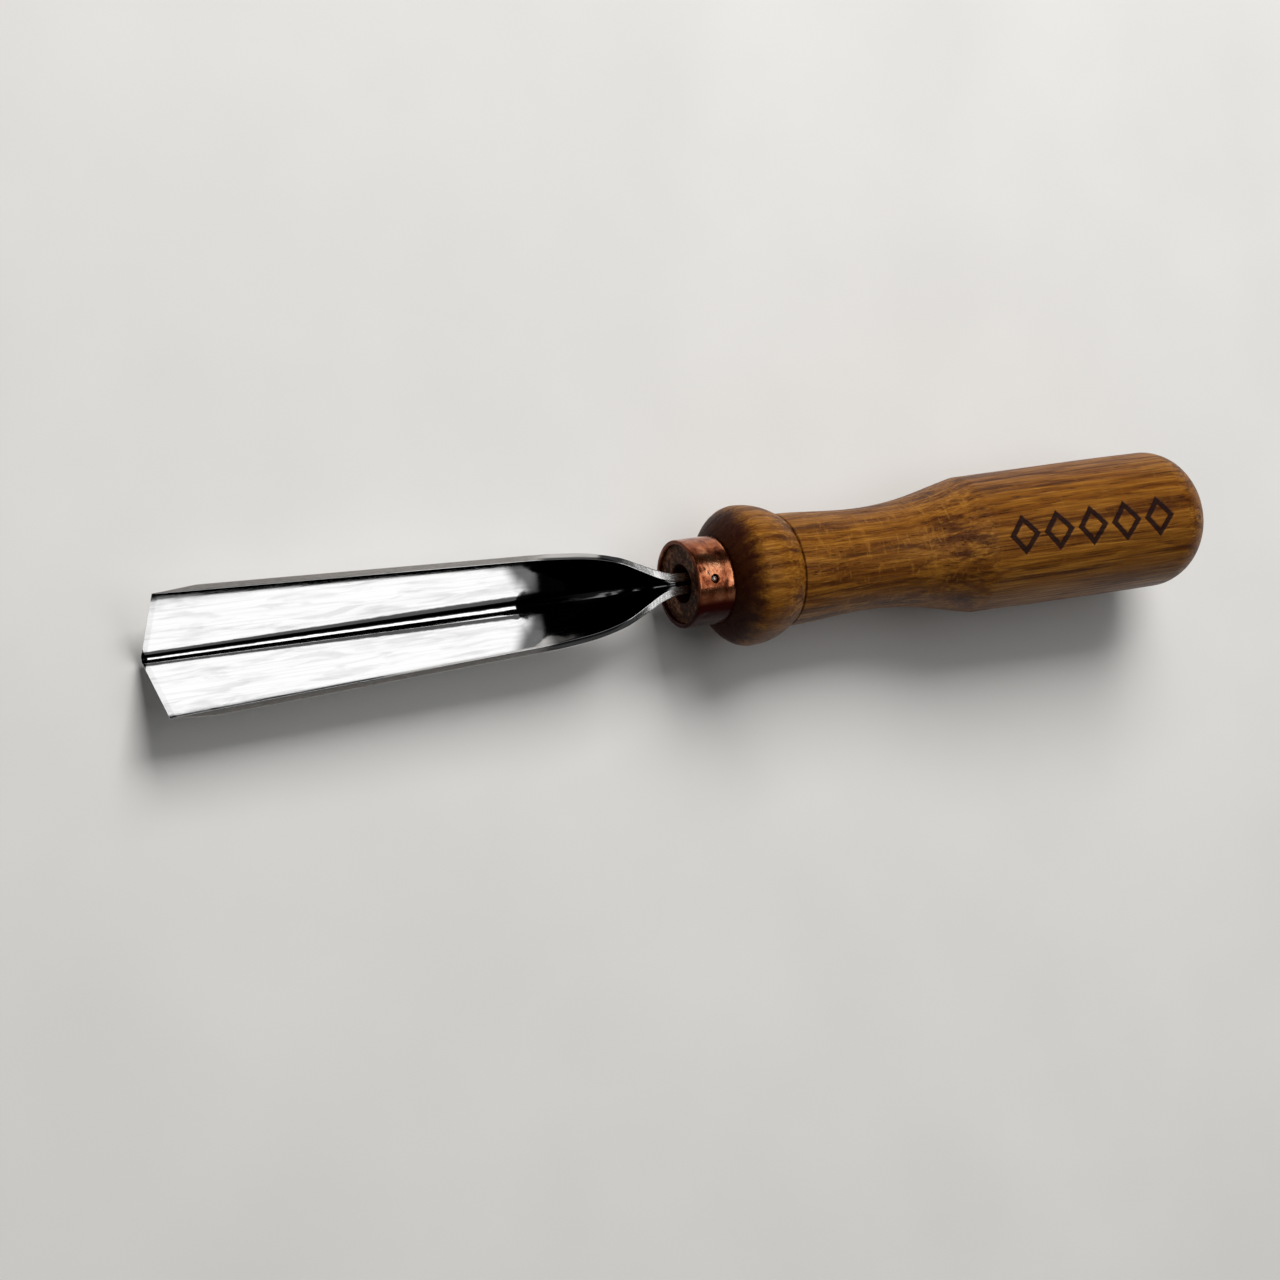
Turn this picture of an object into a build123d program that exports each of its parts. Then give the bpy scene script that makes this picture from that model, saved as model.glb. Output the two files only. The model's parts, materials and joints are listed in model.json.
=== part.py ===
from build123d import *
import os
from typing import NamedTuple
from math import asin, atan, cos, degrees, radians, sin, sqrt, tan

os.makedirs("parts", exist_ok=True)

# V parting tool: a forged V blade with a tang, a turned handle, a ferrule and its pin.
# Each piece is drawn in the tool's own frame: X runs from the ferrule's front face to the
# cutting edge, Z towards the open side of the V, and the handle's axis is the X axis.
# At the end all pieces are laid on the bench together, on the blade's keel and the handle's bulb.

# ---------------------------------------------------------------- driving dimensions, mm
BLADE_REACH = 121.0         # ferrule face to cutting edge
BEVEL_LENGTH = 10.0         # outer grind behind the cutting edge
SHOULDER_X = 38.0           # from here to the neck the wings close
NECK_END_X = -2.0           # the neck runs a little way into the handle
FLANK_ANGLE = 45.0          # each flank to the V's mid-plane, so the V is 90 degrees
HALF_WIDTH_EDGE = 12.5      # inner arris to mid-plane, at the cutting edge
HALF_WIDTH_SHOULDER = 9.3   # the same at the shoulder
LIP_EDGE = 5.2              # height of the inner arris over the axis, at the cutting edge
LIP_SHOULDER = 3.5          # the same at the shoulder
WALL = 1.8                  # thickness of a wing
EDGE_WALL = 0.15            # what the bevel leaves of it at the cutting edge
GROOVE_RADIUS_EDGE = 1.45   # inside the V's corner, at the cutting edge
GROOVE_RADIUS_SHOULDER = 2.5
KEEL_RADIUS = 1.3           # outside the V's corner
KNUCKLE_SHARE = 0.45        # place of the side ridge, from keel to outer arris
NECK_STEP = 2.6             # spacing of the sections that shape the neck
EASE_RUN = 8.0              # the neck's first curve leans on the wings this far ahead of the shoulder
OVERRUN = 1.0               # how far a cutter runs past the face that it cuts

TANG_WIDTH = 4.2
TANG_HEIGHT_FRONT = 5.4
TANG_TAPER_X = -9.0         # the tang is square from here on
TANG_END_X = -68.0
TANG_END_WIDTH = 2.4

FERRULE_OD = 19.5
FERRULE_WALL = 1.0
FERRULE_LENGTH = 9.0
FERRULE_CHAMFER = 0.3
PIN_HOLE_D = 1.9
PIN_D = 1.3
PIN_X = -4.1
PIN_INNER_R = 4.9
PIN_SINK = 0.4              # the pin's end lies this far under the ferrule's skin

HANDLE_END_X = -139.2
END_GRAIN_X = -0.8          # the wood stops this far inside the ferrule
BULB_X = -15.9
BULB_R = 15.6
BULB_FRONT = 8.8            # half-length of the bulb's ellipse, towards the ferrule
BULB_REAR = 15.5            # and towards the waist
LINE_X = -25.0              # scribed line behind the bulb
LINE_WIDTH = 0.5
LINE_DEPTH = 0.35
LINE_SLOPE = 0.01           # the waist narrows this slowly where it leaves the line
WAIST_X = -46.5
WAIST_R = 11.55
SWEEP_X = -62.5             # middle of the sweep from the waist up to the grip
SWEEP_R = 13.05
SWEEP_SLOPE = 0.2           # rise of the radius there and at the grip's ridge
GRIP_X = -74.5              # ridge where the waist's sweep meets the grip
GRIP_R = 15.6
BELLY_X = -100.0
BELLY_R = 15.85             # from here to the dome
DOME_X = -126.5             # the rounded end starts here
END_FLAT_SPAN = 7.0         # degrees left off the dome, a small flat where it was parted off

MOUTH_R = 4.3               # open hole around the neck
BORE_R = 3.5                # hole for the tang and its bedding
BORE_END_X = -70.0


# ---------------------------------------------------------------- the blade
def across(x):
    """The plane square to the axis at x: its own x is the tool's Y and its y the tool's Z."""
    return Plane(origin=(x, 0, 0), x_dir=(0, 1, 0), z_dir=(1, 0, 0))


def along_wing(x, at_shoulder, at_edge):
    """A value that changes evenly from the shoulder to the cutting edge."""
    share = (x - SHOULDER_X) / (BLADE_REACH - SHOULDER_X)
    return at_shoulder + (at_edge - at_shoulder) * share


class Station(NamedTuple):
    """What shapes the blade's section at x: the right-hand half, in the tool's Y and Z."""
    x: float
    half: float         # inner arris to mid-plane
    lip: float          # height of the inner arris
    corner_y: float     # outer arris
    corner_z: float
    knuckle_y: float    # ridge down the side of the neck, level with the flank on the wings
    knuckle_z: float
    keel: float         # lowest point before it is rounded
    keel_r: float
    floor: float        # lowest point of the hollow before it is rounded
    groove_r: float     # rounding inside the V


def wing_station(x, wall=WALL):
    """A section of the straight wings."""
    half = along_wing(x, HALF_WIDTH_SHOULDER, HALF_WIDTH_EDGE)
    lip = along_wing(x, LIP_SHOULDER, LIP_EDGE)
    slope = radians(FLANK_ANGLE)
    corner_y, corner_z = half + wall * cos(slope), lip - wall * sin(slope)
    floor = lip - half / tan(slope)
    keel = floor - wall / sin(slope)
    knuckle_y, knuckle_z = corner_y * KNUCKLE_SHARE, keel + (corner_z - keel) * KNUCKLE_SHARE
    groove_r = along_wing(x, GROOVE_RADIUS_SHOULDER, GROOVE_RADIUS_EDGE)
    return Station(x, half, lip, corner_y, corner_z, knuckle_y, knuckle_z, keel, KEEL_RADIUS,
                   floor, groove_r)


# From the shoulder back the wings close and the hollow runs out over a rising floor, and the V turns
# into a narrow upright neck.
NECK_STATIONS = [
    Station(36.0, 9.20, 3.47, 10.52, 2.22, 4.8, -3.39, -8.25, 1.3, -5.4, 2.70),
    Station(30.0, 8.75, 3.40, 10.20, 2.20, 4.7, -3.35, -7.9, 1.3, -4.1, 3.00),
    Station(22.0, 7.90, 3.30, 9.30, 2.25, 4.5, -3.2, -7.5, 1.3, -2.3, 3.20),
    Station(15.0, 6.20, 3.20, 7.60, 2.60, 4.0, -3.2, -6.8, 1.4, -0.8, 2.60),
    Station(10.0, 3.80, 3.10, 5.40, 2.85, 3.3, -2.9, -5.8, 1.5, 0.4, 1.60),
    Station(6.0, 1.80, 3.00, 3.60, 2.90, 2.7, -2.4, -4.9, 1.5, 1.4, 0.80),
    Station(2.5, 0.80, 2.90, 2.55, 2.85, 2.3, -2.0, -4.2, 1.4, 2.1, 0.45),
    Station(NECK_END_X, 0.25, 2.80, 2.20, 2.75, 2.2, -1.9, -3.9, 1.3, 2.55, 0.25),
]


def eased(before, start, end, after, share):
    """A station part of the way from start to end, on a smooth curve through all four."""
    x = start.x + (end.x - start.x) * share
    span = end.x - start.x
    values = []
    for p, a, b, q in zip(before[1:], start[1:], end[1:], after[1:]):
        slope_a = (b - p) / (end.x - before.x) * span
        slope_b = (q - a) / (after.x - start.x) * span
        values.append(a * (1 + 2 * share) * (1 - share) ** 2 + slope_a * share * (1 - share) ** 2
                      + b * share ** 2 * (3 - 2 * share) - slope_b * share ** 2 * (1 - share))
    return Station(x, *values)


def neck_sections():
    """Stations from the shoulder to the end of the neck, close enough together to loft smoothly."""
    wings = [wing_station(SHOULDER_X + EASE_RUN), wing_station(SHOULDER_X)]
    given = [*wings, *NECK_STATIONS, NECK_STATIONS[-1]._replace(x=NECK_END_X - EASE_RUN)]
    sections = []
    for four in zip(given, given[1:], given[2:], given[3:]):
        steps = max(1, round((four[1].x - four[2].x) / NECK_STEP))
        sections += [eased(*four, step / steps) for step in range(steps)]
    return sections + [NECK_STATIONS[-1]]


def rounded_section(x, points, corner_r):
    """A closed outline across the blade, with its lowest corner rounded."""
    outline = make_face(Polyline(*points, close=True))
    return across(x) * fillet(outline.vertices().sort_by(Axis.Y)[0], corner_r)


def outer_section(s):
    """The whole section with the V filled in: flat lip to lip, edge faces, sides and keel."""
    side = [(s.half, s.lip), (s.corner_y, s.corner_z), (s.knuckle_y, s.knuckle_z)]
    other_side = [(-y, z) for y, z in reversed(side)]
    return rounded_section(s.x, [*side, (0, s.keel), *other_side], s.keel_r)


def trough_section(s, above=4.0):
    """The hollow of the V with its rounded corner, open above the lips."""
    steepness = (s.lip - s.floor) / s.half
    top_y, top_z = s.half + above / steepness, s.lip + above
    return rounded_section(s.x, [(top_y, top_z), (0, s.floor), (-top_y, top_z)], s.groove_r)


def block(x, width, height):
    return across(x) * Rectangle(width, height)


def make_blade():
    """The blade with its neck and tang, and the tang alone."""
    heel = wing_station(BLADE_REACH - BEVEL_LENGTH)
    edge = wing_station(BLADE_REACH, EDGE_WALL)
    shoulder = wing_station(SHOULDER_X)
    beyond = wing_station(BLADE_REACH + OVERRUN)

    bevel = loft([outer_section(edge), outer_section(heel)], ruled=True)
    wings = loft([outer_section(heel), outer_section(shoulder)], ruled=True)
    neck = loft([outer_section(s) for s in neck_sections()], ruled=True)
    straight = loft([trough_section(beyond), trough_section(shoulder)], ruled=True)
    scoop = loft([trough_section(s) for s in neck_sections()], ruled=True)
    tang = loft([block(0, TANG_WIDTH, TANG_HEIGHT_FRONT), block(TANG_TAPER_X, TANG_WIDTH, TANG_WIDTH),
                 block(TANG_END_X, TANG_END_WIDTH, TANG_END_WIDTH)], ruled=True)
    return (bevel + wings - straight) + (neck - scoop) + tang, tang


# ---------------------------------------------------------------- the handle and what is on it
def rod(from_x, to_x, radius):
    """A round bar on the axis, from from_x back to to_x."""
    return extrude(across(to_x) * Circle(radius), from_x - to_x)


def pin_bar(radius, inner_r, outer_r):
    """A round bar square to the axis, in the middle of the V's open side."""
    base = Plane(origin=(PIN_X, 0, inner_r), z_dir=(0, 0, 1))
    return extrude(base * Circle(radius), outer_r - inner_r)


def ellipse_span(distance, half_length):
    """Degrees of an ellipse from its top to the point this far along its length."""
    return degrees(asin(distance / half_length))


def turned_handle():
    """Seat for the ferrule, bulb, scribed line, waist, grip and domed end, all in one turning."""
    seat_r = FERRULE_OD / 2 - FERRULE_WALL
    front_span = ellipse_span(BULB_X + FERRULE_LENGTH, -BULB_FRONT)
    rear_span = ellipse_span(BULB_X - LINE_X, BULB_REAR)
    with BuildPart() as handle:
        with BuildSketch(Plane.XZ):
            with BuildLine():
                front = EllipticalCenterArc((BULB_X, 0), BULB_FRONT, BULB_R, 90, arc_size=-front_span)
                rear = EllipticalCenterArc((BULB_X, 0), BULB_REAR, BULB_R, 90, arc_size=rear_span)
                Polyline((END_GRAIN_X, 0), (END_GRAIN_X, seat_r), (-FERRULE_LENGTH, seat_r), front @ 1)
                waist_start = rear @ 1 + Vector(-LINE_WIDTH, 0)
                Polyline(rear @ 1, rear @ 1 + Vector(-LINE_WIDTH / 2, -LINE_DEPTH), waist_start)
                Spline(waist_start, (WAIST_X, WAIST_R), (SWEEP_X, SWEEP_R), (GRIP_X, GRIP_R),
                       tangents=[(-1, -LINE_SLOPE), (-1, 0), (-1, SWEEP_SLOPE), (-1, SWEEP_SLOPE)])
                ThreePointArc((GRIP_X, GRIP_R), (BELLY_X, BELLY_R), (DOME_X, BELLY_R))
                dome = EllipticalCenterArc((DOME_X, 0), DOME_X - HANDLE_END_X, BELLY_R, 90,
                                           arc_size=90 - END_FLAT_SPAN)
                Polyline(dome @ 1, ((dome @ 1).X, 0), (END_GRAIN_X, 0))
            make_face()
        revolve(axis=Axis.X)
    return handle.part


def make_ferrule():
    tube = rod(0, -FERRULE_LENGTH, FERRULE_OD / 2)
    tube = chamfer(tube.edges().filter_by(GeomType.CIRCLE), FERRULE_CHAMFER)
    hole = pin_bar(PIN_HOLE_D / 2, PIN_INNER_R, FERRULE_OD)
    bore = rod(OVERRUN, -FERRULE_LENGTH - OVERRUN, FERRULE_OD / 2 - FERRULE_WALL)
    return tube - bore - hole


def make_pieces():
    blade, tang = make_blade()
    pin = pin_bar(PIN_D / 2, PIN_INNER_R, FERRULE_OD / 2 - PIN_SINK)
    bore = rod(END_GRAIN_X + OVERRUN, TANG_TAPER_X, MOUTH_R) + rod(TANG_TAPER_X, BORE_END_X, BORE_R)
    return {
        "v_blade": blade,
        "ferrule": make_ferrule(),
        "ferrule_pin": pin,
        "handle": turned_handle() - bore - pin,
        "tang_bedding": rod(TANG_TAPER_X, BORE_END_X, BORE_R) - tang,
    }


# ---------------------------------------------------------------- how it lies on the bench
def bench_lean():
    """Slope of the axis to the bench, and the axis's height where it leaves the ferrule.

    The bench touches the rounded keel at the bevel's heel and is tangent to the bulb's front.
    """
    heel_x = BLADE_REACH - BEVEL_LENGTH
    keel_drop = -wing_station(heel_x).keel - KEEL_RADIUS * (sqrt(2) - 1)
    reach = heel_x - BULB_X
    a = reach ** 2 - BULB_FRONT ** 2
    b = 2 * keel_drop * reach
    c = keel_drop ** 2 - BULB_R ** 2
    slope = (-b + sqrt(b * b - 4 * a * c)) / (2 * a)
    height = (keel_drop + slope * heel_x) * cos(atan(slope))
    return degrees(atan(slope)), height


def lay_on_bench(pieces):
    """Turns the blade's tip to -X, lays keel and bulb on the bench, and centres the outline over the origin."""
    lean, height = bench_lean()
    pose = Pos(0, 0, height) * Rot(0, -lean, 0) * Rot(0, 0, 180)
    laid = {name: pose * piece for name, piece in pieces.items()}
    boxes = [piece.bounding_box() for piece in laid.values()]
    mid_x = (min(b.min.X for b in boxes) + max(b.max.X for b in boxes)) / 2
    mid_y = (min(b.min.Y for b in boxes) + max(b.max.Y for b in boxes)) / 2
    shift = Pos(-mid_x, -mid_y, -min(b.min.Z for b in boxes))
    print(f"lean {lean:.4f} deg, axis height {height:.4f}, shift {shift.position}")
    return {name: shift * piece for name, piece in laid.items()}


for name, piece in lay_on_bench(make_pieces()).items():
    piece.label = name
    export_step(piece, f"parts/{name}.step")
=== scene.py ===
import json
from math import acos, asin, atan2, cos, hypot, pi, radians, sin, sqrt, tan
import bmesh
import bpy
from mathutils import Matrix, Vector, noise


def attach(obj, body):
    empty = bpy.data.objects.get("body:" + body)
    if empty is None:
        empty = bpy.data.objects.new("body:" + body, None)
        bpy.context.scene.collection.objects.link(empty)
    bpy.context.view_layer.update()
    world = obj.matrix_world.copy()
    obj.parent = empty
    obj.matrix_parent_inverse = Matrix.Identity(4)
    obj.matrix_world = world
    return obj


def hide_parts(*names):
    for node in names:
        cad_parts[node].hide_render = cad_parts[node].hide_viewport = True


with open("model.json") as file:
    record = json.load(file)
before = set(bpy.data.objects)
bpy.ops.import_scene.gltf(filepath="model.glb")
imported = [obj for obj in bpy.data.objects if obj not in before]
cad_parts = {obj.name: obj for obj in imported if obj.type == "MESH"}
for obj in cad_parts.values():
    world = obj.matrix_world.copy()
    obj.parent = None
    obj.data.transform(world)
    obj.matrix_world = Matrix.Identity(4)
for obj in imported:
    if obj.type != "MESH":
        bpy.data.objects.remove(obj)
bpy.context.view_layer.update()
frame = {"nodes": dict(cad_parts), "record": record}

# A V parting tool, laid on its keel and the handle's bulb. Shapes are drawn in the tool's own
# frame, in millimetres: X from the ferrule's front face to the cutting edge, Z towards the open
# side of the V, and the handle's axis is X. TOOL turns them into the frame's metres.

# ---------------------------------------------------------------- the tool's own frame
MOUNTS = {mount["name"]: mount for mount in frame["record"]["mounts"]}
FERRULE_LENGTH = 9.0
FERRULE_R = MOUNTS["ferrule"]["dims"]["r_mm"]


def tool_frame():
    """Matrix from the tool's frame in millimetres to the row frame in metres."""
    along = Vector(MOUNTS["ferrule"]["axis"]).normalized()
    opening = -Vector(MOUNTS["left_flank"]["axis"]) - Vector(MOUNTS["right_flank"]["axis"])
    opening = (opening - along * opening.dot(along)).normalized()
    side = opening.cross(along)
    origin = Vector(MOUNTS["ferrule"]["pos_m"]) + along * FERRULE_LENGTH / 2000
    turn = Matrix((along, side, opening)).transposed()
    return Matrix.Translation(origin) @ turn.to_4x4() @ Matrix.Scale(0.001, 4)


TOOL = tool_frame()

# ---------------------------------------------------------------- blade dimensions, mm
BLADE_REACH = 121.0
BEVEL_X = 111.0
SHOULDER_X = 38.0
NECK_END_X = -2.0
WALL = 1.8
EDGE_WALL = 0.15
HONE_X = 119.75             # a second, very flat bevel inside the cutting edge
HONE_DEPTH = 0.035
ARRIS_CUT = 0.13            # wear on the inner arris
OUTER_CUT = 0.2
KNUCKLE_SHARE = 0.45
KEEL_R = 1.3
WING_HALF = (9.3, 12.5)     # half width inside the lips, at the shoulder and at the edge
WING_LIP = (3.5, 5.2)       # height of the lips, at the shoulder and at the edge
GROOVE_R = (2.5, 1.45)      # rounding inside the V, at the shoulder and at the edge
EASE_RUN = 8.0              # the neck's first curve leans on the wings this far ahead
RUN_OUT = 4.0               # and its last curve runs on this far past the end
UNDERSIDE_Z = -7.5          # everything inside the V lies above this
FORGED_FROM, FORGED_TO = 26.0, 10.0     # the filed neck's unevenness grows between these
FILED_FROM, FILED_TO = 16.0, 12.5       # and the arms' filed tops start between these
# x, half width and half height of the tang inside the handle
TANG = [(0.0, 2.1, 2.65), (-9.0, 2.1, 2.1), (-68.0, 1.2, 1.2)]

# x, half width and lip height at the inner arris, outer arris y and z, side ridge y and z,
# keel, keel radius, floor of the trough, groove radius
NECK = [
    (36.0, 9.20, 3.47, 10.52, 2.22, 4.8, -3.39, -8.25, 1.3, -5.4, 2.70),
    (30.0, 8.75, 3.40, 10.20, 2.20, 4.7, -3.35, -7.9, 1.3, -4.1, 3.00),
    (22.0, 7.90, 3.30, 9.30, 2.25, 4.5, -3.2, -7.5, 1.3, -2.3, 3.20),
    (15.0, 6.20, 3.20, 7.60, 2.60, 4.0, -3.2, -6.8, 1.4, -0.8, 2.60),
    (10.0, 3.80, 3.10, 5.40, 2.85, 3.3, -2.9, -5.8, 1.5, 0.4, 1.60),
    (6.0, 1.80, 3.00, 3.60, 2.90, 2.7, -2.4, -4.9, 1.5, 1.4, 0.80),
    (2.5, 0.80, 2.90, 2.55, 2.85, 2.3, -2.0, -4.2, 1.4, 2.1, 0.45),
    (NECK_END_X, 0.25, 2.80, 2.20, 2.75, 2.2, -1.9, -3.9, 1.3, 2.55, 0.25),
]
NECK_STEP = 0.8
WING_STEP = 3.0

# ---------------------------------------------------------------- handle dimensions, mm
END_GRAIN_X = -0.8
SEAT_R = 8.75
MOUTH_R = 4.3
BORE_R = 3.5
BORE_STEP_X = -9.0
BORE_END_X = -70.0
MOUTH_X = -1.2              # where the mouth's edge starts to round over
BULB_X = -15.9
BULB_R = 15.6
BULB_FRONT = 8.8
BULB_REAR = 15.5
LINE_X = -25.0
LINE_WIDTH = 0.5
LINE_DEPTH = 0.35
# x, radius and slope of the radius, from the scribed line over the waist to the grip's ridge
WAIST = [(-25.5, 12.63, 0.01), (-46.5, 11.55, 0.0), (-62.5, 13.05, -0.2), (-74.5, 15.6, -0.2)]
GRIP_X = -74.5
DOME_X = -126.5
DOME_STOP = pi / 2 - 0.1    # the dome's curve ends in a small flat
BELLY_R = 15.85
BELLY_SWELL = 0.1
HANDLE_END_X = -139.16

# ---------------------------------------------------------------- burned ornament, mm
MARK_FRONT_X = -77.0
MARK_PITCH = 9.4
MARK_COUNT = 5
MARK_HALF_LENGTH = 4.3
MARK_HALF_HEIGHT = 4.8
MARK_RING = 0.78            # middle of a stroke, as a share of the lozenge
MARK_STROKE = (0.17, 0.25)  # half a stroke, with and without its soft edge, as a share too
MARK_DEPTH = 0.16
MARK_R = BELLY_R - 0.15


# ---------------------------------------------------------------- small geometry helpers
def lerp(a, b, share):
    return a + (b - a) * share


def smooth(low, high, value):
    """0 below low, 1 above high, and a smooth step between."""
    share = min(1.0, max(0.0, (value - low) / (high - low)))
    return share * share * (3 - 2 * share)


def round_arc(before, corner, after, radius, steps):
    """Points round a corner on an arc that is tangent to both of its sides."""
    u, v = (before - corner).normalized(), (after - corner).normalized()
    half = acos(max(-1.0, min(1.0, u.dot(v)))) / 2
    centre = corner + (u + v).normalized() * (radius / sin(half))
    a = corner + u * (radius / tan(half)) - centre
    b = corner + v * (radius / tan(half)) - centre
    turn = pi - 2 * half
    shares = [step / steps for step in range(steps + 1)]
    return [centre + (a * sin((1 - t) * turn) + b * sin(t * turn)) / sin(turn) for t in shares]


def worn_corner(before, corner, after, cut, steps):
    """Points round a corner that is worn back by cut along both of its sides."""
    a = corner + (before - corner).normalized() * cut
    b = corner + (after - corner).normalized() * cut
    shares = [step / steps for step in range(steps + 1)]
    return [a * (1 - t) ** 2 + corner * 2 * t * (1 - t) + b * t ** 2 for t in shares]


def mesh_object(name, build):
    """An object made by build(bmesh) in the tool's frame, then turned into the row frame."""
    bm = bmesh.new()
    build(bm)
    bmesh.ops.remove_doubles(bm, verts=bm.verts, dist=1e-5)
    bmesh.ops.recalc_face_normals(bm, faces=bm.faces)
    bm.transform(TOOL)
    mesh = bpy.data.meshes.new(name)
    bm.to_mesh(mesh)
    bm.free()
    piece = bpy.data.objects.new(name, mesh)
    bpy.context.scene.collection.objects.link(piece)
    return piece


def skin(bm, loops, closed=True):
    """Quads between neighbouring loops of the same number of points."""
    rows = [[bm.verts.new(point) for point in loop] for loop in loops]
    count = len(rows[0])
    for row, following in zip(rows, rows[1:]):
        for i in range(count if closed else count - 1):
            j = (i + 1) % count
            bm.faces.new((row[i], row[j], following[j], following[i]))
    return rows


def shade(piece, angle):
    """Smooth shading that breaks at edges sharper than angle, in degrees."""
    piece.data.polygons.foreach_set("use_smooth", [True] * len(piece.data.polygons))
    piece.data.set_sharp_from_angle(angle=radians(angle))
    weigh = piece.modifiers.new("even_flats", "WEIGHTED_NORMAL")
    weigh.keep_sharp = True


def adopt(piece, slot, *nodes):
    """The piece rides on the tool and stands for these CAD nodes, which it hides; slot is not used."""
    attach(piece, "root")
    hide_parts(*nodes)
    return piece


# ---------------------------------------------------------------- the blade
def wing_values(x):
    """The section of the straight wings at x, in the order of NECK."""
    share = (x - SHOULDER_X) / (BLADE_REACH - SHOULDER_X)
    wall = WALL if x <= BEVEL_X else lerp(WALL, EDGE_WALL, (x - BEVEL_X) / (BLADE_REACH - BEVEL_X))
    half, lip = lerp(*WING_HALF, share), lerp(*WING_LIP, share)
    corner_y, corner_z = half + wall * sqrt(0.5), lip - wall * sqrt(0.5)
    keel = lip - half - wall * sqrt(2)
    knuckle_y, knuckle_z = corner_y * KNUCKLE_SHARE, lerp(keel, corner_z, KNUCKLE_SHARE)
    floor, groove_r = lip - half, lerp(*GROOVE_R, share)
    return x, half, lip, corner_y, corner_z, knuckle_y, knuckle_z, keel, KEEL_R, floor, groove_r


def eased(before, start, end, after, share):
    """Values part of the way from start to end, on a smooth curve through all four."""
    x = lerp(start[0], end[0], share)
    span = end[0] - start[0]
    values = [x]
    for p, a, b, q in zip(before[1:], start[1:], end[1:], after[1:]):
        slope_a = (b - p) / (end[0] - before[0]) * span
        slope_b = (q - a) / (after[0] - start[0]) * span
        values.append(a * (1 + 2 * share) * (1 - share) ** 2 + slope_a * share * (1 - share) ** 2
                      + b * share ** 2 * (3 - 2 * share) - slope_b * share ** 2 * (1 - share))
    return values


def blade_stations():
    """Sections from the cutting edge to the end of the neck."""
    tip = [BLADE_REACH - step * 0.2 for step in range(6)] + [HONE_X + 0.03, HONE_X - 0.03]
    heel = [BEVEL_X + step for step in (7.5, 6, 4.5, 3, 1.5, 0.4, 0.12, -0.12, -0.4, -1.5)]
    count = round((BEVEL_X - 3 - SHOULDER_X) / WING_STEP)
    wings = [lerp(BEVEL_X - 3, SHOULDER_X, step / count) for step in range(count)]
    stations = [wing_values(x) for x in sorted(tip + heel + wings, reverse=True)]
    given = [wing_values(SHOULDER_X + EASE_RUN), wing_values(SHOULDER_X), *NECK,
             (NECK_END_X - RUN_OUT, *NECK[-1][1:])]
    for four in zip(given, given[1:], given[2:], given[3:]):
        steps = max(1, round((four[1][0] - four[2][0]) / NECK_STEP))
        stations += [eased(*four, step / steps) for step in range(steps)]
    return stations + [NECK[-1]]


def forged(x, y, z):
    """Small unevenness of the filed neck, fading out on the polished wings."""
    share = 1 - smooth(FORGED_TO, FORGED_FROM, x)
    wander = noise.noise(Vector((x * 0.45, y * 0.7, z * 0.7)))
    ripple = noise.noise(Vector((x * 1.9, y * 1.1 + 40, z * 1.1)))
    return share * (0.13 * wander + 0.02 * ripple)


def half_section(values):
    """Half of the section, from the middle of the groove over the lip to the middle of the keel."""
    x, half, lip, corner_y, corner_z, knuckle_y, knuckle_z, keel, keel_r, floor, groove_r = values
    hone = HONE_DEPTH * max(0.0, (x - HONE_X) / (BLADE_REACH - HONE_X))
    apex, arris = Vector((0, floor - hone)), Vector((half, lip - hone))
    corner, knuckle = Vector((corner_y, corner_z)), Vector((knuckle_y, knuckle_z))
    bottom = Vector((0, keel))
    face = (corner - arris).length
    groove = round_arc(Vector((-half, lip)), apex, arris, groove_r, 20)[10:]
    lip_edge = worn_corner(apex, arris, corner, min(ARRIS_CUT, face * 0.3), 4)
    outer_edge = worn_corner(arris, corner, knuckle, min(OUTER_CUT, face * 0.3), 4)
    ridge = worn_corner(corner, knuckle, bottom, 0.7, 6)
    keel_arc = round_arc(knuckle, bottom, Vector((-knuckle_y, knuckle_z)), keel_r, 16)[:9]
    flank = [groove[-1].lerp(lip_edge[0], share) for share in (0.03, 0.2, 0.4, 0.6, 0.8, 0.97)]
    top = [lip_edge[-1].lerp(outer_edge[0], share) for share in (0.1, 0.5, 0.9)]
    side = [outer_edge[-1].lerp(ridge[0], share) for share in (0.05, 0.5, 0.95)]
    under = [ridge[-1].lerp(keel_arc[0], share) for share in (0.1, 0.5, 0.9)]
    return groove + flank + lip_edge + top + outer_edge + side + ridge + under + keel_arc


def blade_loop(values):
    """The whole section as a closed loop."""
    x = values[0]
    right = half_section(values)
    left = [Vector((-p.x, p.y)) for p in right[-2:0:-1]]
    loop = []
    for point in right + left:
        push = forged(x, point.x, point.y) if x > NECK_END_X + 0.5 else 0.0
        loop.append((x, point.x * (1 + 0.02 * push), point.y + push * (0.9 if point.y > 0 else 0.5)))
    return loop


def build_blade(bm):
    rows = skin(bm, [blade_loop(values) for values in blade_stations()])
    bm.faces.new(rows[0])
    bm.faces.new(list(reversed(rows[-1])))
    bars = skin(bm, [[(x, -w, -h), (x, w, -h), (x, w, h), (x, -w, h)] for x, w, h in TANG])
    bm.faces.new(bars[0])
    bm.faces.new(list(reversed(bars[-1])))


def make_blade():
    blade = mesh_object("v_blade_steel", build_blade)
    shade(blade, 32)
    blade.data.materials.append(steel_material())
    return adopt(blade, "blade_steel", "v_blade")


# ---------------------------------------------------------------- turned pieces
def turned(bm, profile, angles, relief=None, close_front=False, close_back=False):
    """Turns a profile of (x, radius) about the axis; relief(x, angle, radius) moves the skin out."""
    loops = []
    for x, radius in profile:
        loop = []
        for angle in angles:
            r = radius + (relief(x, angle, radius) if relief else 0.0)
            loop.append((x, r * sin(angle), r * cos(angle)))
        loops.append(loop)
    rows = skin(bm, loops)
    if close_front:
        bm.faces.new(rows[0])
    if close_back:
        bm.faces.new(list(reversed(rows[-1])))
    return rows


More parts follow.
